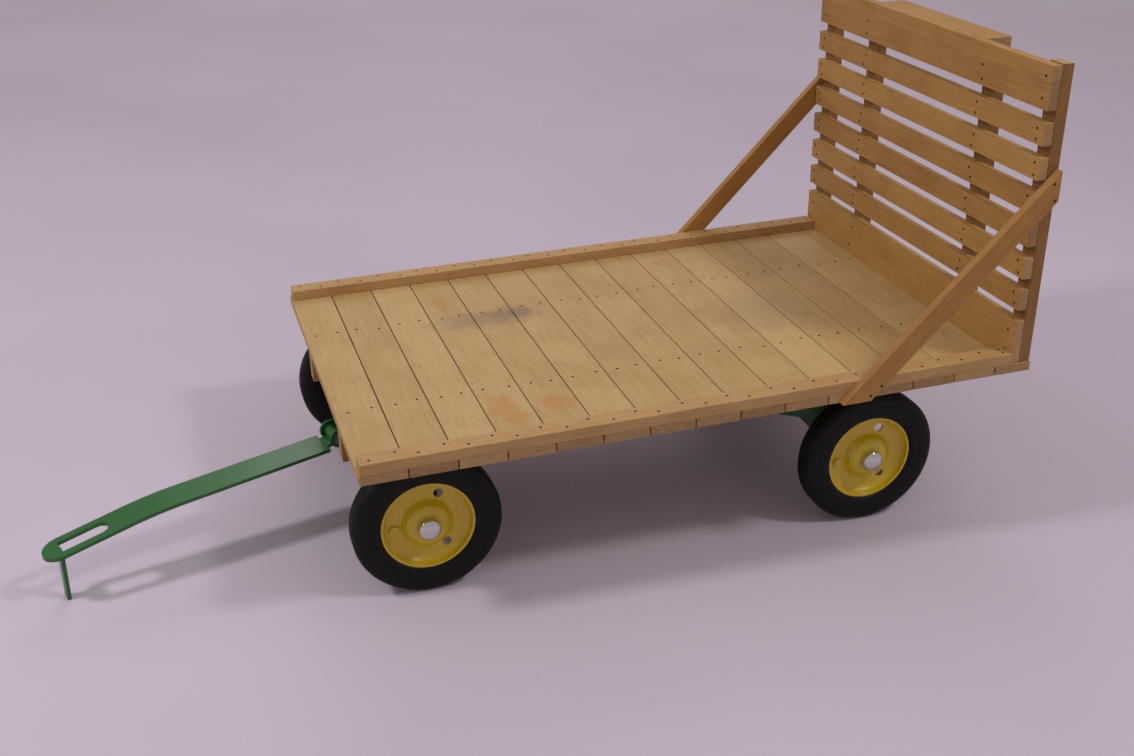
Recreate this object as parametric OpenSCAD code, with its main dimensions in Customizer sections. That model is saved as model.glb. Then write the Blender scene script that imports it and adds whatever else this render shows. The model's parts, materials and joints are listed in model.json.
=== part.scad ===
// Model flatbed hay wagon with a slatted rear rack and a towing tongue.
// +X is forward (tongue end), +Y is the wagon's left, +Z is up, floor at z = 0.

/* [Deck] */
// length of the plank deck from its front end to its rear end
deck_len = 287.6; // [220:0.2:360]
// width of the deck, the length of each plank
deck_w = 185; // [176:1:240]
// height of the deck's top face above the floor at its front end
front_deck_z = 68.6; // [66:0.2:90]
// slope of the whole bed, front end low, in degrees
bed_tilt = 1.97; // [0:0.01:3]
// how far the deck's front end stands ahead of the front axle
front_overhang = 29.9; // [20:0.1:60]
// thickness of each deck plank
plank_t = 4; // [2:0.1:6]
// number of deck planks, front to rear
plank_n = 15; // [8:1:24]
// gap between one plank and the next
plank_gap = 0.55; // [0.2:0.05:1.5]
// how much narrower the rearmost plank is than the rest
rear_trim = 2; // [0:0.1:8]

/* [Side rails] */
// width of each side rail across the wagon
rail_w = 8.8; // [4:0.1:16]
// height of each side rail above the planks
rail_h = 4.8; // [2:0.1:10]
// how far each rail's front end stands back from the deck's front
rail_setback = 0.8; // [0:0.1:6]

/* [Sills] */
// width of each lengthwise sill under the planks
sill_w = 7; // [4:0.1:10]
// height of each sill
sill_h = 16.9; // [12:0.1:18]
// distance from the centre line to the middle of each sill
sill_y = 39; // [28:0.5:40]
// how far each sill's ends stand in from the deck's ends
sill_setback = 1; // [0:0.1:20]

/* [Rack] */
// height of the rack's top board above the deck
rack_h = 125.5; // [80:0.5:180]
// width of the rack's boards across the wagon
rack_w = 183.6; // [170:0.1:240]
// thickness of the rack boards
board_t = 4; // [2:0.1:7]
// height of the wide top board
top_board_h = 17.7; // [10:0.1:24]
// height of the wide bottom board
bottom_board_h = 19.4; // [8:0.1:24]
// height of each narrow slat
slat_h = 9.3; // [5:0.1:11]
// number of narrow slats between the top and bottom boards
slat_n = 6; // [3:1:7]
// width of each upright across the wagon
upright_w = 8.4; // [5:0.1:14]
// depth of each upright along the wagon
upright_d = 5; // [3:0.1:10]
// how far the uprights stand above the top board
upright_over = 0.4; // [0:0.1:6]
// how far the uprights stand in from the deck's rear end
upright_inset = 0.4; // [0:0.1:6]
// distance from the centre line to the middle of each inner upright
inner_upright_y = 46.7; // [28:0.5:70]
// how far the inner uprights stop below the rack's top
inner_drop = 3; // [2:0.1:6]
// depth along the wagon of the strip fixed behind the top board
back_d = 11.6; // [6:0.1:16]
// height of the strip behind the top board
back_h = 5; // [3.5:0.1:12]

/* [Braces] */
// width of each diagonal brace strip
brace_w = 9; // [5:0.1:14]
// thickness of each diagonal brace strip
brace_t = 3.8; // [2:0.1:6]
// height above the deck where each brace meets the upright
brace_top_z = 77.2; // [40:0.2:110]
// distance from the rear end where each brace meets the deck edge
brace_foot_x = 80; // [40:0.5:140]

/* [Wheels] */
// outside radius of the tyres
tyre_r = 30.9; // [26:0.1:31.5]
// width of the tyres
tyre_w = 12; // [9:0.1:14]
// radius of the tyre bead seat, where the rim meets the rubber
bead_r = 19.4; // [16:0.1:23]
// distance from the centre line to each tyre's outer face
wheel_out_y = 75.2; // [72:0.1:90]
// radius of the axle rods
axle_r = 2; // [1:0.1:2.5]
// sheet thickness of the pressed wheel
wheel_sheet = 1; // [0.8:0.1:1.4]
// running clearance between a hub bore and its axle
hub_clear = 0.1; // [0.03:0.01:0.2]
// distance between the axles
wheelbase = 198; // [140:1:230]

/* [Running gear] */
// sheet thickness of the pressed running gear
sheet_t = 1.2; // [0.8:0.1:2]
// width of each axle beam and bolster along the wagon
beam_d = 15; // [10:0.5:20]
// half length of each axle beam across the wagon
beam_half = 57; // [44:0.5:60]
// half length of each bolster across the wagon
bolster_half = 44; // [44:0.5:56]
// height of the reach's underside above the floor
reach_z = 36.4; // [36:0.1:40]
// height of the reach channel
reach_h = 5; // [3:0.1:6]
// width of the reach channel
reach_w = 10; // [8:0.5:16]
// radius of the steering kingpin
kingpin_r = 2; // [1.5:0.1:3]
// height of the hound strips
hound_h = 7; // [4:0.1:9]
// angle of each hound to the wagon's length, in degrees
hound_angle = 33; // [25:1:45]

/* [Tongue] */
// distance from the kingpin forward to the rivet the tongue swings on
swing_ahead = 16.6; // [15:0.1:24]
// angle the tongue stands swung to the wagon's left, in degrees
swing_rest = 16.3; // [0:0.1:20]
// distance from the swing rivet to the tongue's hinge pin
hinge_ahead = 9.6; // [8.4:0.1:16]
// height of the tongue's hinge pin above the floor
hinge_z = 40.4; // [40.4:0.1:44]
// distance from the hinge pin to the tongue's tip
tongue_len = 128.2; // [90:0.2:180]
// width of the tongue strip
tongue_w = 14.6; // [12:0.1:20]
// thickness of the tongue strip
tongue_t = 1.6; // [1:0.1:2]
// distance from the tip back to the bend in the tongue
bend_back = 46; // [36:0.5:70]
// height of the tongue's middle line at its bend
bend_z = 31.2; // [28:0.1:34]
// height of the tongue's middle line at its tip
tip_z = 21.8; // [15:0.1:27]
// length of the lanced slot in the tongue
slot_len = 20; // [10:0.5:28]
// width of the lanced slot
slot_w = 7.6; // [4:0.1:9]
// width of the hook tab bent down at the slot's front
hook_w = 4.4; // [3:0.1:7]
// solid strip left between the slot and the tip
nose_solid = 7; // [4:0.2:12]

/* [Hidden] */
$fn = 64;

// pressed wheel details
boss_r = 9.6;
hub_wall = 2;
lip_set = 1.6;
web_set = 5.2;
boss_set = 0.8;
hole_ring_r = 13.5;
hole_r = 2;
hole_n = 3;
hole_phase = 112;

// pins, caps and clearances
pin_clear = 0.1;
washer = 0.4;
cap_r = 4.5;
cap_skirt = 2;
cap_dome = 1.8;
rivet_r = 1.6;
pin_r = 1.2;
eye_wall = 1.3;
hook_gap = 0.15;
rod_cover = 2.4;

// places in the bed's own frame: x = 0 at the deck's rear end, z = 0 at its top face
plank_pitch = (deck_len + rear_trim + plank_gap) / plank_n;
plank_l = plank_pitch - plank_gap;
half_w = deck_w / 2;
sill_bottom = -plank_t - sill_h;
upright_x1 = upright_inset + upright_d;
board_x1 = upright_x1 + board_t;
rack_half = rack_w / 2;
slat_space = rack_h - top_board_h - bottom_board_h;
slat_gap = (slat_space - slat_n * slat_h) / (slat_n + 1);
end_upright_y = half_w - 0.5 - upright_w / 2;

// lengthwise places, centred between the deck's rear end and the tongue's tip
tip_s = hinge_ahead + tongue_len;
nose_reach = swing_ahead + (tip_s - tongue_w / 2) * cos(swing_rest) + tongue_w / 2;
tail_reach = deck_len * cos(bed_tilt) + plank_t * sin(bed_tilt) - front_overhang;
front_axle_x = (tail_reach - nose_reach) / 2;
rear_axle_x = front_axle_x - wheelbase;
swing_x = front_axle_x + swing_ahead;

// heights in the running gear
axle_z = tyre_r;
reach_top = reach_z + reach_h;
beam_top = reach_z - washer;
beam_bottom = axle_z - axle_r - 2.4;

WOOD = [0.78, 0.6, 0.36];
GREEN = [0.14, 0.4, 0.16];
YELLOW = [0.88, 0.72, 0.1];
RUBBER = [0.08, 0.08, 0.08];
CHROME = [0.8, 0.8, 0.82];

module block(x0, x1, y0, y1, z0, z1) {
  translate([x0, y0, z0])
    cube([x1 - x0, y1 - y0, z1 - z0]);
}

module mirrored_pair() {
  children();
  mirror([0, 1, 0])
    children();
}

// sets its children, drawn in the bed's own frame, on the sloping bed
module on_bed() {
  translate([front_axle_x + front_overhang, 0, front_deck_z])
    rotate([0, bed_tilt, 0])
      translate([-deck_len, 0, 0])
        children();
}

// ---- deck and rack ----
module planks() {
  color(WOOD)
    on_bed()
      for (i = [0 : plank_n - 1]) {
        x1 = deck_len - i * plank_pitch;
        block(max(x1 - plank_l, 0), x1, -half_w, half_w, -plank_t, 0);
      }
}

module side_rails() {
  color(WOOD)
    on_bed()
      mirrored_pair()
        block(board_x1, deck_len - rail_setback, half_w - rail_w, half_w, 0, rail_h);
}

module sills() {
  color(WOOD)
    on_bed()
      mirrored_pair()
        block(sill_setback, deck_len - sill_setback, sill_y - sill_w / 2, sill_y + sill_w / 2,
              sill_bottom, -plank_t);
}

module rack_board(z0, z1) {
  block(upright_x1, board_x1, -rack_half, rack_half, z0, z1);
}

module top_board() {
  color(WOOD)
    on_bed()
      rack_board(rack_h - top_board_h, rack_h);
}

module bottom_board() {
  color(WOOD)
    on_bed()
      rack_board(0, bottom_board_h);
}

module slats() {
  color(WOOD)
    on_bed()
      for (i = [0 : slat_n - 1]) {
        z0 = bottom_board_h + slat_gap + i * (slat_h + slat_gap);
        rack_board(z0, z0 + slat_h);
      }
}

module upright(y, top) {
  block(upright_inset, upright_x1, y - upright_w / 2, y + upright_w / 2, 0, top);
}

module end_uprights() {
  color(WOOD)
    on_bed()
      mirrored_pair()
        upright(end_upright_y, rack_h + upright_over);
}

module inner_uprights() {
  color(WOOD)
    on_bed()
      mirrored_pair()
        upright(inner_upright_y, rack_h - inner_drop);
}

// flat strip along the top board's back, fitted between the two inner uprights
module back_board() {
  half = inner_upright_y - upright_w / 2;
  color(WOOD)
    on_bed()
      block(upright_x1 - back_d, upright_x1, -half, half, rack_h - back_h, rack_h);
}

// flat strip laid against the outside of the deck's edge, from low on it up to the end upright
module brace() {
  top = [upright_x1 / 2, brace_top_z];
  foot = [brace_foot_x, 0];
  fall = atan2(top[1], foot[0] - top[0]);
  long = norm(foot - top) + brace_w + plank_t;
  translate([0, half_w, 0])
    intersection() {
      translate([top[0], 0, top[1]])
        rotate([0, fall, 0])
          block(-brace_w, long, 0, brace_t, -brace_w / 2, brace_w / 2);
      block(upright_inset + 1.2, brace_foot_x + 2 * brace_w, -1, brace_t + 1,
            0.5 - plank_t, rack_h);
    }
}

module braces() {
  color(WOOD)
    on_bed()
      mirrored_pair()
        brace();
}

// ---- running gear fixed under the bed ----
// pressed channel, open below, with closed ends
module channel(xc, half, z0, z1, d) {
  difference() {
    block(xc - d / 2, xc + d / 2, -half, half, z0, z1);
    block(xc - d / 2 + sheet_t, xc + d / 2 - sheet_t, -half + sheet_t, half - sheet_t,
          z0 - 1, z1 - sheet_t);
  }
}

module pin_hole(x, r, z0, z1) {
  translate([x, 0, z0])
    cylinder(r = r, h = z1 - z0);
}

// pressed channel, open above, its top edges cut to the slope of the sills it carries
module bolster(xc) {
  intersection() {
    difference() {
      block(xc - beam_d / 2, xc + beam_d / 2, -bolster_half, bolster_half,
            reach_top, front_deck_z);
      block(xc - beam_d / 2 + sheet_t, xc + beam_d / 2 - sheet_t,
            -bolster_half - 1, bolster_half + 1, reach_top + sheet_t, front_deck_z + 1);
    }
    on_bed()
      block(-deck_len, 2 * deck_len, -deck_w, deck_w, -deck_len, sill_bottom);
  }
}

module front_bolster() {
  color(GREEN)
    difference() {
      bolster(front_axle_x);
      pin_hole(front_axle_x, kingpin_r, reach_top - 1, reach_top + sheet_t + 1);
    }
}

module rear_bolster() {
  color(GREEN)
    bolster(rear_axle_x);
}

module rod_hole(x, r) {
  translate([x, 0, axle_z])
    rotate([90, 0, 0])
      cylinder(r = r, h = 4 * beam_half, center = true);
}

module rear_beam() {
  color(GREEN)
    difference() {
      channel(rear_axle_x, beam_half, beam_bottom, reach_top, beam_d);
      rod_hole(rear_axle_x, axle_r);
    }
}

module reach() {
  x0 = rear_axle_x + beam_d / 2;
  x1 = front_axle_x + beam_d / 2;
  color(GREEN)
    difference() {
      channel((x0 + x1) / 2, reach_w / 2, reach_z, reach_top, x1 - x0);
      pin_hole(front_axle_x, kingpin_r, reach_z, reach_top + 1);
    }
}

// strip on edge, slanting from the reach back and out to the rear beam
module hound() {
  x0 = rear_axle_x + beam_d / 2;
  out = bolster_half - 4;
  long = out / sin(hound_angle) + 10;
  intersection() {
    translate([x0, out, reach_top - hound_h])
      rotate([0, 0, -hound_angle])
        block(-10, long, -sheet_t / 2, sheet_t / 2, 0, hound_h);
    block(x0, x0 + long, reach_w / 2, 2 * out, reach_top - hound_h, reach_top);
  }
}

module hounds() {
  color(GREEN)
    mirrored_pair()
      hound();
}

cap_y = wheel_out_y - boss_set + 0.2;
module axle_rod(x) {
  translate([x, 0, axle_z])
    rotate([90, 0, 0])
      cylinder(r = axle_r, h = 2 * (cap_y + rod_cover), center = true);
}

module rear_axle() {
  color(CHROME)
    axle_rod(rear_axle_x);
}

module front_axle() {
  color(CHROME)
    axle_rod(front_axle_x);
}

// push-on cap, a dome over a short skirt gripping the axle end
module cap(x) {
  translate([x, cap_y, axle_z])
    rotate([-90, 0, 0])
      rotate_extrude()
        difference() {
          union() {
            square([cap_r, cap_skirt]);
            translate([0, cap_skirt])
              intersection() {
                scale([1, cap_dome / cap_r])
                  circle(r = cap_r);
                square([cap_r, cap_r]);
              }
          }
          square([axle_r, rod_cover]);
        }
}

module rear_caps() {
  color(CHROME)
    mirrored_pair()
      cap(rear_axle_x);
}

module front_caps() {
  color(CHROME)
    mirrored_pair()
      cap(front_axle_x);
}

// headed rivet through bolster and reach that the front beam turns on
module kingpin() {
  head = kingpin_r + 1.8;
  under = beam_top - sheet_t - washer / 2;
  color(CHROME)
    union() {
      pin_hole(front_axle_x, kingpin_r, under, reach_top + sheet_t + 0.01);
      pin_hole(front_axle_x, head, under - 1, under);
      pin_hole(front_axle_x, head, reach_top + sheet_t, reach_top + sheet_t + 1.6);
    }
}

// ---- steered front gear ----
bracket_half = 5.6;
module front_beam() {
  x0 = front_axle_x + beam_d / 2;
  color(GREEN)
    difference() {
      union() {
        channel(front_axle_x, beam_half, beam_bottom, beam_top, beam_d);
        block(x0 - sheet_t, swing_x, -bracket_half, bracket_half, beam_top - sheet_t, beam_top);
        pin_hole(swing_x, bracket_half, beam_top - sheet_t, beam_top);
      }
      pin_hole(front_axle_x, kingpin_r + pin_clear, beam_top - 5, beam_top + 5);
      pin_hole(swing_x, rivet_r, beam_top - 5, beam_top + 5);
      rod_hole(front_axle_x, axle_r);
    }
}

// rivet fixed in the front beam's bracket that the tongue's clevis swings on
base_z = beam_top + 0.2;
module swing_rivet() {
  top = base_z + sheet_t + 0.2;
  head = rivet_r + 1.2;
  color(CHROME)
    union() {
      pin_hole(swing_x, rivet_r, beam_top - sheet_t - 0.01, top + 0.01);
      pin_hole(swing_x, head, beam_top - sheet_t - 1, beam_top - sheet_t);
      pin_hole(swing_x, head, top, top + 0.9);
    }
}

// ---- tongue and its clevis, drawn along the tongue with x = 0 at the swing rivet ----
module along_tongue() {
  translate([swing_x, 0, 0])
    rotate([0, 0, swing_rest])
      children();
}

ear_in = 4.4;
ear_r = hinge_z - base_z;
module ear() {
  translate([0, ear_in + sheet_t, 0])
    rotate([90, 0, 0])
      difference() {
        linear_extrude(height = sheet_t)
          union() {
            translate([hinge_ahead, hinge_z])
              circle(r = ear_r);
            translate([rivet_r + 2, base_z])
              square([hinge_ahead - rivet_r - 2, 2 * ear_r]);
          }
        translate([hinge_ahead, hinge_z, -1])
          cylinder(r = pin_r, h = 10);
      }
}

module tongue_clevis() {
  color(GREEN)
    along_tongue()
      difference() {
        union() {
          mirrored_pair()
            ear();
          block(0, hinge_ahead - ear_r + 0.6, -ear_in - sheet_t, ear_in + sheet_t,
                base_z, base_z + sheet_t);
          pin_hole(0, ear_in + sheet_t, base_z, base_z + sheet_t);
        }
        pin_hole(0, rivet_r + pin_clear, base_z - 1, base_z + sheet_t + 1);
      }
}

module hinge_pin() {
  color(CHROME)
    along_tongue()
      translate([hinge_ahead, 0, hinge_z])
        rotate([90, 0, 0])
          union() {
            cylinder(r = pin_r, h = 2 * (ear_in + sheet_t) + 0.02, center = true);
            translate([0, 0, ear_in + sheet_t])
              cylinder(r = 2 * pin_r, h = 0.9);
            translate([0, 0, -ear_in - sheet_t - 0.9])
              cylinder(r = 2 * pin_r, h = 0.9);
          }
}

neck_w = 2 * ear_in - 0.8;
neck_len = ear_r + 1;
eye_r = pin_r + pin_clear + eye_wall;
bend_half = 9;
bend_s = tip_s - bend_back;
shoulder_s = hinge_ahead + neck_len;
shoulder_z = hinge_z - eye_r - 1;
rear_slope = (shoulder_z - bend_z) / (bend_s - shoulder_s);
front_slope = (bend_z - tip_z) / bend_back;
slot_front = tip_s - nose_solid;

// middle line of the strip, with the bend eased over a short length
tongue_line = [
  [hinge_ahead, hinge_z - eye_r + tongue_t / 2],
  [shoulder_s, shoulder_z],
  [bend_s - bend_half, bend_z + rear_slope * bend_half],
  [bend_s - bend_half / 3, bend_z + rear_slope * bend_half / 3 - 0.2],
  [bend_s + bend_half / 3, bend_z - front_slope * bend_half / 3 - 0.2],
  [bend_s + bend_half, bend_z - front_slope * bend_half],
  [tip_s + 1, tip_z - front_slope]
];
tongue_last = len(tongue_line) - 1;
tongue_side = concat(
  [for (i = [0 : tongue_last]) tongue_line[i] + [0, tongue_t / 2]],
  [for (i = [tongue_last : -1 : 0]) tongue_line[i] - [0, tongue_t / 2]]
);

module side_profile(points, width) {
  translate([0, width / 2, 0])
    rotate([90, 0, 0])
      linear_extrude(height = width)
        polygon(points);
}

module tongue_plan() {
  translate([0, 0, -10])
    linear_extrude(height = 2 * hinge_z)
      difference() {
        union() {
          translate([hinge_ahead, -neck_w / 2])
            square([neck_len + 1, neck_w]);
          translate([shoulder_s, -tongue_w / 2])
            square([tip_s - tongue_w / 2 - shoulder_s, tongue_w]);
          translate([tip_s - tongue_w / 2, 0])
            circle(r = tongue_w / 2);
        }
        translate([slot_front - slot_len + slot_w / 2, -slot_w / 2])
          square([slot_len - slot_w / 2, slot_w]);
        translate([slot_front - slot_len + slot_w / 2, 0])
          circle(r = slot_w / 2);
      }
}

// tab cut from the slot and bent straight down
module hook_tab() {
  z0 = tip_z + front_slope * nose_solid;
  back = slot_front - 0.9;
  under = slot_front + 1.6;
  under_z = z0 - front_slope * 1.6;
  side_profile([
    [back, hook_gap],
    [back + tongue_t, hook_gap],
    [back + tongue_t, z0 - 1.6],
    [under, under_z - 0.2],
    [under, under_z + 0.3],
    [slot_front, z0 + 0.5],
    [back, z0 - 0.8]
  ], hook_w);
}

module tongue() {
  color(GREEN)
    along_tongue()
      union() {
        difference() {
          union() {
            intersection() {
              side_profile(tongue_side, tongue_w + 4);
              tongue_plan();
            }
            translate([hinge_ahead, 0, hinge_z])
              rotate([90, 0, 0])
                cylinder(r = eye_r, h = neck_w, center = true);
          }
          translate([hinge_ahead, 0, hinge_z])
            rotate([90, 0, 0])
              cylinder(r = pin_r + pin_clear, h = 30, center = true);
        }
        hook_tab();
      }
}

// ---- wheels ----
// rim section: radius along X, depth along Y from the tyre's outer face inward
module rim_section() {
  s = wheel_sheet;
  bore = axle_r + hub_clear;
  in_r = bead_r - s;
  union() {
    // bead seat with its two rolled lips
    translate([in_r, lip_set])
      square([s, tyre_w - 2 * lip_set]);
    translate([in_r - 0.4, tyre_w - lip_set - s])
      square([s, s]);
    // disc: boss face, boss wall, web with its fillets, foot of the bead seat
    polygon([
      [bore, boss_set],
      [boss_r - 3.6, boss_set],
      [boss_r - 2, boss_set + 0.5],
      [boss_r - 0.8, boss_set + 1.4],
      [boss_r + 0.3, web_set - 1.4],
      [boss_r + 1, web_set - 0.4],
      [boss_r + 1.9, web_set],
      [in_r - 2.8, web_set],
      [in_r - 1.5, web_set - 0.4],
      [in_r - 0.6, web_set - 1.3],
      [in_r - 0.1, web_set - 2.4],
      [in_r + s / 2, web_set - 2.4],
      [in_r + s / 2, web_set + s],
      [boss_r + 1.4, web_set + s],
      [boss_r - 0.2, web_set + 0.5],
      [boss_r - 1, web_set - 0.8],
      [boss_r - 2, boss_set + 2],
      [boss_r - 3.6, boss_set + s],
      [bore, boss_set + s]
    ]);
    // hub tube
    translate([bore, boss_set])
      square([hub_wall, tyre_w - boss_set + 0.6]);
  }
}

module rim(x, side) {
  color(YELLOW)
    translate([x, side * wheel_out_y, axle_z])
      rotate([side * 90, 0, 0])
        difference() {
          rotate_extrude()
            rim_section();
          for (i = [0 : hole_n - 1])
            rotate([0, 0, hole_phase + i * 360 / hole_n])
              translate([hole_ring_r, 0, web_set - 1])
                cylinder(r = hole_r, h = wheel_sheet + 2);
        }
}

module tyre(x, side) {
  wall = tyre_r - bead_r;
  groove = 0.6;
  color(RUBBER)
    translate([x, side * wheel_out_y, axle_z])
      rotate([side * 90, 0, 0])
        rotate_extrude()
          difference() {
            polygon([
              [bead_r, lip_set],
              [bead_r + 0.7, 0.9],
              [bead_r + 2, 0.3],
              [bead_r + wall / 2, 0],
              [tyre_r - 2.6, 0.5],
              [tyre_r - 0.9, 1.5],
              [tyre_r, 3],
              [tyre_r, tyre_w - 3],
              [tyre_r - 0.9, tyre_w - 1.5],
              [tyre_r - 2.6, tyre_w - 0.5],
              [bead_r + wall / 2, tyre_w],
              [bead_r + 2, tyre_w - 0.3],
              [bead_r + 0.7, tyre_w - 0.9],
              [bead_r, tyre_w - lip_set]
            ]);
            for (i = [-1 : 1])
              translate([tyre_r - groove, tyre_w / 2 + i * 2 - groove / 2])
                square([2, groove]);
          }
}

module rim_front_left() { rim(front_axle_x, 1); }
module rim_front_right() { rim(front_axle_x, -1); }
module rim_rear_left() { rim(rear_axle_x, 1); }
module rim_rear_right() { rim(rear_axle_x, -1); }
module tyre_front_left() { tyre(front_axle_x, 1); }
module tyre_front_right() { tyre(front_axle_x, -1); }
module tyre_rear_left() { tyre(rear_axle_x, 1); }
module tyre_rear_right() { tyre(rear_axle_x, -1); }

planks();
side_rails();
sills();
top_board();
slats();
bottom_board();
end_uprights();
inner_uprights();
back_board();
braces();
front_bolster();
rear_bolster();
rear_beam();
reach();
hounds();
rear_axle();
rear_caps();
kingpin();
front_beam();
front_axle();
front_caps();
swing_rivet();
tongue_clevis();
hinge_pin();
tongue();
rim_front_left();
tyre_front_left();
rim_front_right();
tyre_front_right();
rim_rear_left();
tyre_rear_left();
rim_rear_right();
tyre_rear_right();
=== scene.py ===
# Looks of a model hay wagon: bare wood bed and slatted rack on a green pressed-steel gear.
import json
import math
import random

import bpy
from mathutils import Matrix, Vector


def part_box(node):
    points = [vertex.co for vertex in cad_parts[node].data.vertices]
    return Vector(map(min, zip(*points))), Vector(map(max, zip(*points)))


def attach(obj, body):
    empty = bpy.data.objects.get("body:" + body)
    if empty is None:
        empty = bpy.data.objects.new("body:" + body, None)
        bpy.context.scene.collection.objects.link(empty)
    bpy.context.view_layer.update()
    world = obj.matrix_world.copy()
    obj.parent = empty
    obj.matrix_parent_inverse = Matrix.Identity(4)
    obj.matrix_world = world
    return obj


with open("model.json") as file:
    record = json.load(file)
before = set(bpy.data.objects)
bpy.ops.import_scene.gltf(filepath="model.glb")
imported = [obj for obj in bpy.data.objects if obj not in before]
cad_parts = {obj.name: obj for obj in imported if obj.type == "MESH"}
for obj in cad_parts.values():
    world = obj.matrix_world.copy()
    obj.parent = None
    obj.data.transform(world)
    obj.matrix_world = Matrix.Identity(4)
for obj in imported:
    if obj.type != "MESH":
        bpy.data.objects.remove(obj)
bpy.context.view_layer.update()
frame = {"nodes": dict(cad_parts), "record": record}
record = frame["record"]
nodes = frame["nodes"]
MM = 0.001


# ---- places taken from the frame ----
def mount(name):
    return next(m for m in record["mounts"] if m["name"] == name)


def size_of(node):
    low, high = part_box(node)
    return Vector(high) - Vector(low)


BED_UP = Vector(mount("deck_load")["axis"]).normalized()
BED_TILT = math.atan2(BED_UP.x, BED_UP.z)
BED_ALONG = Vector((math.cos(BED_TILT), 0, -math.sin(BED_TILT)))
DECK_MIDDLE = Vector(mount("deck_load")["pos_m"])
DECK_LEN = size_of("planks").x / math.cos(BED_TILT) - 4 * MM * math.tan(BED_TILT)
BED_ORIGIN = DECK_MIDDLE - BED_ALONG * DECK_LEN / 2
DECK_HALF = size_of("planks").y / 2
PLANK_N = 15
PLANK_PITCH = 19.343 * MM
RAIL_W = 8.8 * MM
RAIL_H = 4.8 * MM
SILL_Y = 39 * MM
BOARD_FRONT = 9.4 * MM
RACK_H = 125.5 * MM
BOTTOM_H = 19.4 * MM
TOP_H = 17.7 * MM
SLAT_N = 6
SLAT_H = 9.3 * MM
SLAT_GAP = (RACK_H - TOP_H - BOTTOM_H - SLAT_N * SLAT_H) / (SLAT_N + 1)
UPRIGHT_Y = (-87.8 * MM, -46.7 * MM, 46.7 * MM, 87.8 * MM)
WHEELS = ("front_left", "front_right", "rear_left", "rear_right")

bed_rotation = Matrix.Rotation(BED_TILT, 4, "Y")


def bed_point(x, y, z):
    """A place in the bed's own frame, x from the deck's rear end and z from its top face."""
    return BED_ORIGIN + BED_ALONG * x + Vector((0, y, 0)) + BED_UP * z


# ---- shader helpers ----
class Tree:
    """A node tree that is written one line per node."""

    def __init__(self, tree):
        self.tree = tree

    def add(self, kind, values=None, **settings):
        node = self.tree.nodes.new(kind)
        for key, value in settings.items():
            setattr(node, key, value)
        for socket, value in (values or {}).items():
            self.set(node.inputs[socket], value)
        return node

    def set(self, socket, value):
        if isinstance(value, bpy.types.NodeSocket):
            self.tree.links.new(value, socket)
        else:
            socket.default_value = value

    def math(self, operation, a, b=0.0, clamp=False):
        node = self.add("ShaderNodeMath", {0: a, 1: b}, operation=operation, use_clamp=clamp)
        return node.outputs[0]

    def vector(self, operation, a, b=(0, 0, 0)):
        node = self.add("ShaderNodeVectorMath", {0: a, 1: b}, operation=operation)
        return node.outputs["Value" if operation in ("LENGTH", "DOT_PRODUCT") else "Vector"]

    def mix(self, share, a, b, blend="MIX"):
        node = self.add("ShaderNodeMix", data_type="RGBA", blend_type=blend)
        for socket, value in ((node.inputs[0], share), (node.inputs[6], a), (node.inputs[7], b)):
            self.set(socket, value)
        return node.outputs[2]

    def noise(self, vector, scale, detail=3.0, rough=0.55, distort=0.0):
        return self.add("ShaderNodeTexNoise", {"Vector": vector, "Scale": scale, "Detail": detail,
                                               "Roughness": rough, "Distortion": distort})

    def between(self, value, low, high, out_low=0.0, out_high=1.0):
        """value from low to high becomes out_low to out_high, smoothly."""
        node = self.add("ShaderNodeMapRange", {0: value, 1: low, 2: high, 3: out_low, 4: out_high},
                        interpolation_type="SMOOTHSTEP")
        return node.outputs[0]

    def place(self, vector, location=(0, 0, 0), rotation=(0, 0, 0), scale=(1, 1, 1)):
        node = self.add("ShaderNodeMapping", {"Vector": vector, "Location": location,
                                              "Rotation": rotation, "Scale": scale})
        return node.outputs[0]


def group(name, inputs, outputs):
    tree = bpy.data.node_groups.new(name, "ShaderNodeTree")
    for label, kind, value in inputs:
        socket = tree.interface.new_socket(label, in_out="INPUT", socket_type="NodeSocket" + kind)
        if value is not None:
            socket.default_value = value
    for label, kind in outputs:
        tree.interface.new_socket(label, in_out="OUTPUT", socket_type="NodeSocket" + kind)
    t = Tree(tree)
    return t, t.add("NodeGroupInput").outputs, t.add("NodeGroupOutput").inputs


def colour(red, green, blue):
    """A colour given as 0 to 255 display values."""
    def linear(c):
        c = c / 255
        return c / 12.92 if c <= 0.04045 else ((c + 0.055) / 1.055) ** 2.4
    return (linear(red), linear(green), linear(blue), 1)


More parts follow.
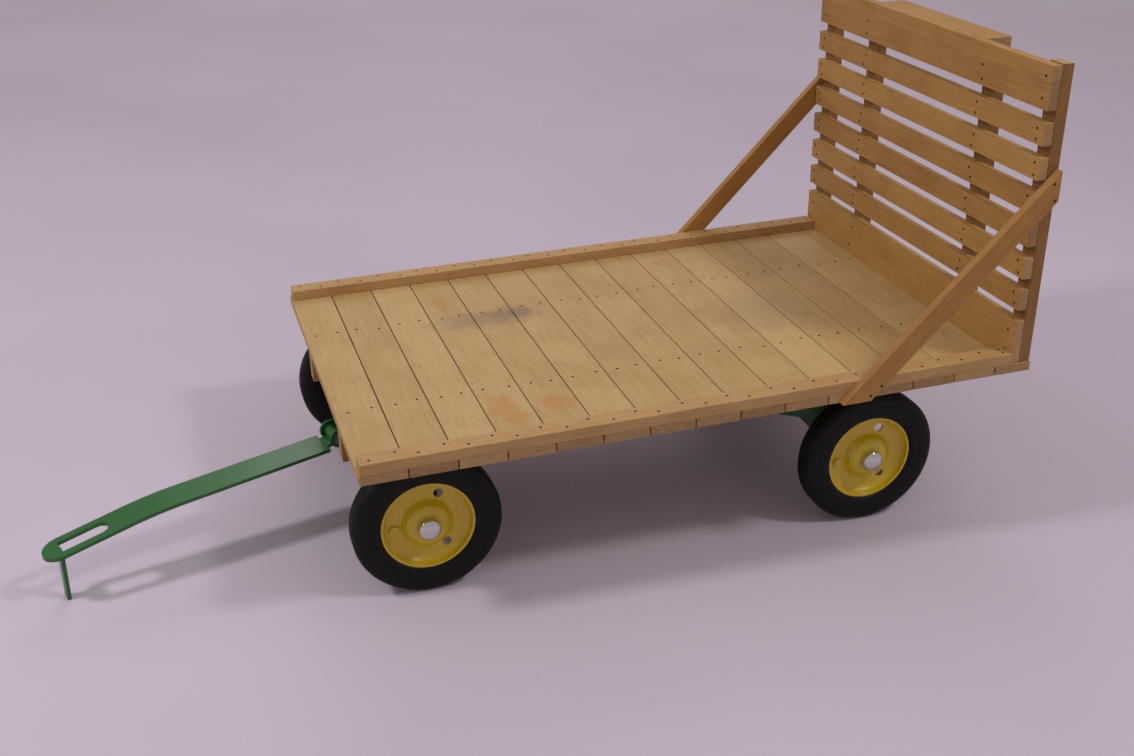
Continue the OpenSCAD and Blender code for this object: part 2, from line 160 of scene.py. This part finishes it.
def grain_group():
    """Softwood figure. Vector runs with X along the grain; Board is a number for each board."""
    t, i, o = group("wood_grain",
                    [("Vector", "Vector", None), ("Board", "Float", 0), ("Light", "Color", None),
                     ("Dark", "Color", None), ("Figure", "Float", 0.5), ("End", "Float", 0)],
                    [("Color", "Color"), ("Roughness", "Float"), ("Height", "Float")])
    pick = t.add("ShaderNodeTexWhiteNoise", {"W": i["Board"]}, noise_dimensions="1D")
    shift = t.vector("MULTIPLY", pick.outputs["Color"], (3.1, 1.7, 2.3))
    spot = t.vector("ADD", i["Vector"], shift)
    # broad growth figure, drawn out along the grain
    broad = t.noise(t.place(spot, scale=(7, 120, 120)), 1.0, 2.0, 0.45, 0.3).outputs["Fac"]
    rings = t.math("PINGPONG", t.math("MULTIPLY", broad, 9.0), 0.5)
    rings = t.between(rings, 0.0, 0.5)
    # fine fibres and short dark pores
    fibre = t.noise(t.place(spot, scale=(45, 1500, 1500)), 1.0, 3.0, 0.6).outputs["Fac"]
    pores = t.noise(t.place(spot, scale=(160, 2600, 2600)), 1.0, 1.0, 0.5).outputs["Fac"]
    pores = t.between(pores, 0.64, 0.74)
    cloud = t.noise(spot, 38.0, 3.0, 0.55).outputs["Fac"]
    depth = t.math("MULTIPLY", t.math("SUBTRACT", 1.0, rings), i["Figure"])
    depth = t.math("ADD", depth, t.math("MULTIPLY", t.between(fibre, 0.3, 0.75), 0.24))
    depth = t.math("ADD", depth, t.math("MULTIPLY", t.between(cloud, 0.35, 0.7), 0.30))
    board = t.math("MULTIPLY", t.math("SUBTRACT", pick.outputs["Value"], 0.5), 0.40)
    depth = t.math("ADD", depth, board, clamp=True)
    tint = t.mix(depth, i["Light"], i["Dark"])
    tint = t.mix(t.math("MULTIPLY", pores, 0.16), tint, colour(110, 74, 40))
    # end grain soaks up dirt and shows the saw
    saw = t.noise(t.place(i["Vector"], scale=(1, 260, 1900)), 1.0, 2.0, 0.6).outputs["Fac"]
    end_shade = t.math("ADD", t.math("MULTIPLY", t.between(saw, 0.3, 0.75), 0.45), t.math(
        "MULTIPLY", pick.outputs["Value"], 0.55))
    end_tint = t.mix(end_shade, colour(186, 148, 104), colour(130, 96, 62))
    tint = t.mix(i["End"], tint, end_tint)
    t.set(o["Color"], tint)
    rough = t.math("ADD", 0.56, t.math("MULTIPLY", fibre, 0.18))
    t.set(o["Roughness"], t.math("ADD", rough, t.math("MULTIPLY", i["End"], 0.15), clamp=True))
    height = t.math("ADD", t.math("MULTIPLY", fibre, 0.6), t.math("MULTIPLY", rings, 0.25))
    height = t.math("SUBTRACT", height, t.math("MULTIPLY", pores, 0.5))
    t.set(o["Height"], t.math("ADD", height, t.math("MULTIPLY", saw, i["End"])))
    return t.tree


def stain_group():
    """Soft-edged patch: how deep the stain is around Centre, out to Reach along and across."""
    t, i, o = group("stain_patch",
                    [("Vector", "Vector", None), ("Centre", "Vector", None),
                     ("Reach", "Vector", (1, 1, 1)), ("Ragged", "Float", 0.5)],
                    [("Mask", "Float")])
    offset = t.vector("DIVIDE", t.vector("SUBTRACT", i["Vector"], i["Centre"]), i["Reach"])
    ragged = t.noise(i["Vector"], 110.0, 4.0, 0.65).outputs["Fac"]
    away = t.math("ADD", t.vector("LENGTH", offset),
                  t.math("MULTIPLY", t.math("SUBTRACT", ragged, 0.5), i["Ragged"]))
    t.set(o["Mask"], t.between(away, 0.35, 1.0, 1.0, 0.0))
    return t.tree


def dust_group():
    """Thin dust and handling marks: a colour mask, a roughness and a height that vary."""
    t, i, o = group("dust_and_wear",
                    [("Vector", "Vector", None), ("Scale", "Float", 60), ("Low", "Float", 0.3),
                     ("High", "Float", 0.5)],
                    [("Mask", "Float"), ("Roughness", "Float"), ("Height", "Float")])
    cloud = t.noise(i["Vector"], i["Scale"], 4.0, 0.6).outputs["Fac"]
    speck = t.noise(i["Vector"], t.math("MULTIPLY", i["Scale"], 22.0), 2.0, 0.6).outputs["Fac"]
    mask = t.math("MULTIPLY", t.between(cloud, 0.42, 0.75), t.between(speck, 0.4, 0.75))
    t.set(o["Mask"], mask)
    spread = t.math("SUBTRACT", i["High"], i["Low"])
    t.set(o["Roughness"], t.math("ADD", i["Low"], t.math("MULTIPLY", cloud, spread)))
    t.set(o["Height"], speck)
    return t.tree


GRAIN = grain_group()
STAIN = stain_group()
DUST = dust_group()


def material(name):
    made = bpy.data.materials.new(name)
    made.use_nodes = True
    made.node_tree.nodes.clear()
    t = Tree(made.node_tree)
    surface = t.add("ShaderNodeBsdfPrincipled")
    t.add("ShaderNodeOutputMaterial", {"Surface": surface.outputs[0]})
    place = t.add("ShaderNodeTexCoord")
    return made, t, surface, place


def bump(t, surface, height, depth):
    node = t.add("ShaderNodeBump", {"Height": height, "Strength": 1.0, "Distance": depth})
    t.set(surface.inputs["Normal"], node.outputs[0])


def wood(name, light, dark, turn, count_axis, pitch, start=0.0, figure=0.5, stains=()):
    """Bare wood. turn brings the bed's frame round so that X runs along the grain."""
    made, t, surface, place = material(name)
    inverse = bed_rotation.inverted()
    back = inverse @ -BED_ORIGIN
    bed = t.place(place.outputs["Object"], location=back, rotation=(0, -BED_TILT, 0))
    grain_way = t.place(bed, rotation=turn)
    split = t.add("ShaderNodeSeparateXYZ", {0: bed})
    counted = t.math("SUBTRACT", split.outputs[count_axis], start)
    board = t.math("FLOOR", t.math("DIVIDE", counted, pitch))
    facing = t.place(t.place(place.outputs["Normal"], rotation=(0, -BED_TILT, 0)), rotation=turn)
    along = t.math("ABSOLUTE", t.add("ShaderNodeSeparateXYZ", {0: facing}).outputs[0])
    grain = t.add("ShaderNodeGroup", node_tree=GRAIN)
    for socket, value in (("Vector", grain_way), ("Board", board), ("Light", light), ("Dark", dark),
                          ("Figure", figure), ("End", t.between(along, 0.75, 0.9))):
        t.set(grain.inputs[socket], value)
    tint = grain.outputs["Color"]
    for centre, reach, ragged, shade, share in stains:
        patch = t.add("ShaderNodeGroup", node_tree=STAIN)
        for socket, value in (("Vector", bed), ("Centre", centre), ("Reach", reach),
                              ("Ragged", ragged)):
            t.set(patch.inputs[socket], value)
        tint = t.mix(t.math("MULTIPLY", patch.outputs[0], share), tint, shade)
    t.set(surface.inputs["Base Color"], tint)
    t.set(surface.inputs["Roughness"], grain.outputs["Roughness"])
    surface.inputs["Specular IOR Level"].default_value = 0.35
    bump(t, surface, grain.outputs["Height"], 0.00012)
    return made


def coated(name, base, worn, low, high, coat=0.0, metallic=0.0, scale=60, share=0.4, depth=2e-5,
           shine=0.5):
    """Paint, rubber or metal with dust, uneven gloss and a fine surface."""
    made, t, surface, place = material(name)
    dust = t.add("ShaderNodeGroup", node_tree=DUST)
    for socket, value in (("Vector", place.outputs["Object"]), ("Scale", scale), ("Low", low),
                          ("High", high)):
        t.set(dust.inputs[socket], value)
    t.set(surface.inputs["Base Color"],
          t.mix(t.math("MULTIPLY", dust.outputs["Mask"], share), base, worn))
    t.set(surface.inputs["Roughness"], dust.outputs["Roughness"])
    surface.inputs["Metallic"].default_value = metallic
    surface.inputs["Specular IOR Level"].default_value = shine
    surface.inputs["Coat Weight"].default_value = coat
    surface.inputs["Coat Roughness"].default_value = 0.12
    bump(t, surface, dust.outputs["Height"], depth)
    return made


# turns that bring the bed's frame round so that X runs along the grain
ACROSS = (0, 0, math.radians(-90))
ALONG = (0, 0, 0)
UP = (0, math.radians(90), 0)
SLANTED = (0, math.radians(-45), 0)

GREY_MARK = colour(120, 98, 82)
RED_BROWN = colour(178, 112, 46)
DECK_STAINS = (
    # centre and reach in the bed's frame, raggedness, colour, share
    ((0.204, -0.031, 0), (0.032, 0.013, 0.02), 1.3, GREY_MARK, 0.44),
    ((0.193, -0.035, 0), (0.014, 0.011, 0.02), 1.1, GREY_MARK, 0.40),
    ((0.221, 0.060, 0), (0.009, 0.019, 0.02), 1.9, RED_BROWN, 0.46),
    ((0.199, 0.059, 0), (0.008, 0.012, 0.02), 1.9, RED_BROWN, 0.42),
    ((0.221, -0.054, 0), (0.005, 0.014, 0.02), 1.6, RED_BROWN, 0.34),
    ((0.106, -0.067, 0), (0.003, 0.004, 0.02), 0.8, colour(180, 90, 70), 0.36),
    ((0.085, 0.004, 0), (0.030, 0.030, 0.02), 1.5, GREY_MARK, 0.22),
)
DECK_LIGHT = colour(194, 158, 107)
DECK_DARK = colour(164, 123, 70)
RACK_LIGHT = colour(180, 135, 74)
RACK_DARK = colour(144, 97, 44)

deck_wood = wood("deck_wood", DECK_LIGHT, DECK_DARK, ACROSS, 0, PLANK_PITCH,
                 DECK_LEN - PLANK_N * PLANK_PITCH, 0.13, DECK_STAINS)
rail_wood = wood("rail_wood", colour(184, 143, 93), colour(156, 110, 58), ALONG, 1, 0.05,
                 0.003, 0.16)
sill_wood = wood("sill_wood", RACK_LIGHT, RACK_DARK, ALONG, 1, 0.05, 0.003, 0.18)
rack_wood = wood("rack_wood", RACK_LIGHT, RACK_DARK, ACROSS, 2, SLAT_H + SLAT_GAP,
                 BOTTOM_H + SLAT_GAP / 2, 0.17)
# uprights: light and dark wood tones set darker than the rack boards' as painted shade, standing in for
# shade on their side faces that the lamps here do not cast
upright_wood_painted_shade = wood("upright_wood_painted_shade", colour(144, 102, 54), colour(106, 70, 32), UP, 1, 0.04, 0.021, 0.18)
brace_wood = wood("brace_wood", colour(172, 123, 64), colour(138, 89, 38), SLANTED, 1, 0.05,
                  0.003, 0.2)
green_enamel = coated("green_enamel", colour(18, 92, 26), colour(52, 100, 44), 0.28, 0.48,
                      coat=0.25, share=0.22)
yellow_enamel = coated("yellow_enamel", colour(206, 172, 8), colour(176, 140, 28), 0.20, 0.36,
                       coat=0.45, share=0.18)
black_rubber = coated("black_rubber", colour(12, 11, 10), colour(40, 36, 32), 0.45, 0.7,
                      scale=90, share=0.18, depth=4e-5, shine=0.22)
bright_cap = coated("bright_cap", colour(214, 212, 210), colour(150, 146, 140), 0.08, 0.2,
                    metallic=1.0, scale=150, share=0.3, depth=4e-6)
drawn_steel = coated("drawn_steel", colour(150, 148, 144), colour(104, 82, 60), 0.28, 0.5,
                     metallic=1.0, scale=120, share=0.5)
nail_steel = coated("nail_steel", colour(30, 19, 12), colour(60, 40, 25), 0.55, 0.8,
                    scale=900, share=0.4, shine=0.2)

FINISHES = {
    deck_wood: ("planks",),
    rail_wood: ("side_rails",),
    sill_wood: ("sills",),
    rack_wood: ("top_board", "slats", "bottom_board", "back_board"),
    upright_wood_painted_shade: ("end_uprights", "inner_uprights"),
    brace_wood: ("braces",),
    green_enamel: ("front_bolster", "rear_bolster", "rear_beam", "reach", "hounds",
                   "front_beam", "tongue_clevis", "tongue"),
    drawn_steel: ("kingpin", "swing_rivet", "hinge_pin", "rear_axle", "front_axle"),
    bright_cap: ("rear_caps", "front_caps"),
    yellow_enamel: tuple("rim_" + wheel for wheel in WHEELS),
    black_rubber: tuple("tyre_" + wheel for wheel in WHEELS),
}
for finish, names in FINISHES.items():
    for name in names:
        mesh = nodes[name].data
        mesh.materials.clear()
        mesh.materials.append(finish)


def soften(name, radius, segments=2, angle=30):
    """Eases a CAD piece's sharp edges with live modifiers; its mesh stays as it is."""
    piece = nodes[name]
    weld = piece.modifiers.new("weld", "WELD")
    weld.merge_threshold = 1e-5
    bevel = piece.modifiers.new("eased_edges", "BEVEL")
    bevel.width = radius
    bevel.segments = segments
    bevel.limit_method = "ANGLE"
    bevel.angle_limit = math.radians(angle)
    bevel.harden_normals = True
    flatten = piece.modifiers.new("flat_faces", "WEIGHTED_NORMAL")
    flatten.mode = "FACE_AREA"
    flatten.weight = 100


for name in ("planks", "side_rails", "sills", "top_board", "slats", "bottom_board", "back_board",
             "end_uprights", "inner_uprights", "braces"):
    soften(name, 0.25 * MM)


# ---- modelling helpers ----
def only(piece):
    bpy.ops.object.select_all(action="DESELECT")
    piece.select_set(True)
    bpy.context.view_layer.objects.active = piece


def finish_piece(piece, name, body, finish, angle=35):
    only(piece)
    bpy.ops.object.transform_apply(location=True, rotation=True, scale=True)
    bpy.ops.object.shade_smooth_by_angle(angle=math.radians(angle))
    piece.name = name
    piece.data.name = name
    piece.data.materials.clear()
    piece.data.materials.append(finish)
    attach(piece, body)
    return piece


def joined(parts):
    bpy.ops.object.select_all(action="DESELECT")
    for part in parts:
        part.select_set(True)
    bpy.context.view_layer.objects.active = parts[0]
    bpy.ops.object.join()
    return parts[0]


def nail_head():
    """One round pin head with an eased rim, standing a hair proud of the wood."""
    bpy.ops.object.select_all(action="DESELECT")
    bpy.ops.mesh.primitive_cylinder_add(vertices=12, radius=0.6 * MM, depth=0.5 * MM)
    bpy.ops.object.mode_set(mode="EDIT")
    bpy.ops.mesh.bevel(offset=0.16 * MM, segments=2)
    bpy.ops.object.mode_set(mode="OBJECT")
    return bpy.context.active_object


def nails(name, places, body="wagon"):
    """Pin heads at (place, outward direction), joined into one piece."""
    pattern = nail_head()
    heads = []
    for spot, way in places:
        head = pattern.copy()
        head.data = pattern.data.copy()
        bpy.context.collection.objects.link(head)
        turn = Vector(way).to_track_quat("Z", "Y").to_matrix().to_4x4()
        head.data.transform(Matrix.Translation(spot - Vector(way) * 0.13 * MM) @ turn)
        heads.append(head)
    bpy.data.objects.remove(pattern, do_unlink=True)
    return finish_piece(joined(heads), name, body, nail_steel)


rng = random.Random(7)


def jitter(amount):
    return rng.uniform(-amount, amount) * MM


deck_nails = []
rail_nails = []
for plank in range(PLANK_N):
    middle = DECK_LEN - (plank + 0.5) * PLANK_PITCH
    for side in (-1, 1):
        for step in (-1, 1):
            x = middle + step * 4.6 * MM + jitter(1.1)
            deck_nails.append((bed_point(x, side * SILL_Y + jitter(1.4), 0), BED_UP))
            x = max(middle + step * 5.2 * MM + jitter(0.5), BOARD_FRONT + 3 * MM)
            y = side * (DECK_HALF - RAIL_W / 2 + step * 1.6 * MM + jitter(0.3) / 2)
            rail_nails.append((bed_point(x, y, RAIL_H), BED_UP))
nails("deck_nails", deck_nails)
nails("rail_nails", rail_nails)

board_rows = [(0.0, BOTTOM_H), (RACK_H - TOP_H, RACK_H)]
for slat in range(SLAT_N):
    low = BOTTOM_H + SLAT_GAP + slat * (SLAT_H + SLAT_GAP)
    board_rows.append((low, low + SLAT_H))
rack_nails = []
for low, high in board_rows:
    for y in UPRIGHT_Y:
        under_strip = high == RACK_H and abs(y) < 60 * MM
        for step in (0.15, 0.5) if under_strip else (0.25, 0.73):
            z = low + (high - low) * step + jitter(0.4)
            rack_nails.append((bed_point(BOARD_FRONT, y + jitter(1.2), z), BED_ALONG))
nails("rack_nails", rack_nails)

brace_nails = []
side_of_brace = DECK_HALF + 3.8 * MM
for side in (-1, 1):
    way = Vector((0, side, 0))
    for x, z in ((3.4, 72.5), (4.6, 79.5), (73.0, 2.6), (77.5, -1.0)):
        brace_nails.append((bed_point(x * MM, side * side_of_brace, z * MM), way))
nails("brace_nails", brace_nails)


# ---- floor, light and camera ----
FLOOR_TINT = colour(206, 191, 208)


def floor_material():
    made, t, surface, place = material("pale_floor")
    cloth = t.noise(place.outputs["Object"], 3.0, 4.0, 0.5).outputs["Fac"]
    t.set(surface.inputs["Base Color"],
          t.mix(t.between(cloth, 0.3, 0.7), FLOOR_TINT, colour(199, 184, 201)))
    surface.inputs["Roughness"].default_value = 0.9
    weave = t.noise(place.outputs["Object"], 900.0, 2.0, 0.6).outputs["Fac"]
    bump(t, surface, weave, 0.0001)
    return made


def backdrop():
    """A plain floor that runs well past the wagon."""
    bpy.ops.object.select_all(action="DESELECT")
    bpy.ops.mesh.primitive_plane_add(size=20.0, location=(0, 0, 0))
    sheet = bpy.context.active_object
    sheet.name = "floor"
    sheet.data.materials.append(floor_material())


backdrop()


def lamp(name, place, size, power, tint=(1, 1, 1)):
    data = bpy.data.lights.new(name, "AREA")
    data.shape = "DISK"
    data.size = size
    data.energy = power
    data.color = tint
    holder = bpy.data.objects.new(name, data)
    holder.location = place
    holder.rotation_euler = Vector(place).to_track_quat("Z", "Y").to_euler()
    bpy.context.collection.objects.link(holder)


lamp("rear_lamp", (-0.50, 0.42, 0.81), 0.14, 2.2)
lamp("front_lamp", (0.70, 0.06, 0.82), 0.14, 3.4)
lamp("far_wash", (-0.4, -1.8, 1.4), 1.2, 7.0)

world = bpy.data.worlds.new("studio")
bpy.context.scene.world = world
world.use_nodes = True
world.node_tree.nodes["Background"].inputs[0].default_value = (0.94, 0.91, 0.89, 1)
world.node_tree.nodes["Background"].inputs[1].default_value = 0.43

camera_data = bpy.data.cameras.new("camera")
camera_data.lens = 42.58
camera_data.sensor_width = 36
camera_data.shift_x = 0.0316
camera_data.shift_y = 0.0092
camera = bpy.data.objects.new("camera", camera_data)
camera.location = (0.1492, 0.5221, 0.3183)
camera.rotation_euler = [math.radians(a) for a in (63.7, -0.3, 163.1)]
bpy.context.collection.objects.link(camera)
bpy.context.scene.camera = camera

bpy.context.scene.view_settings.view_transform = "Standard"
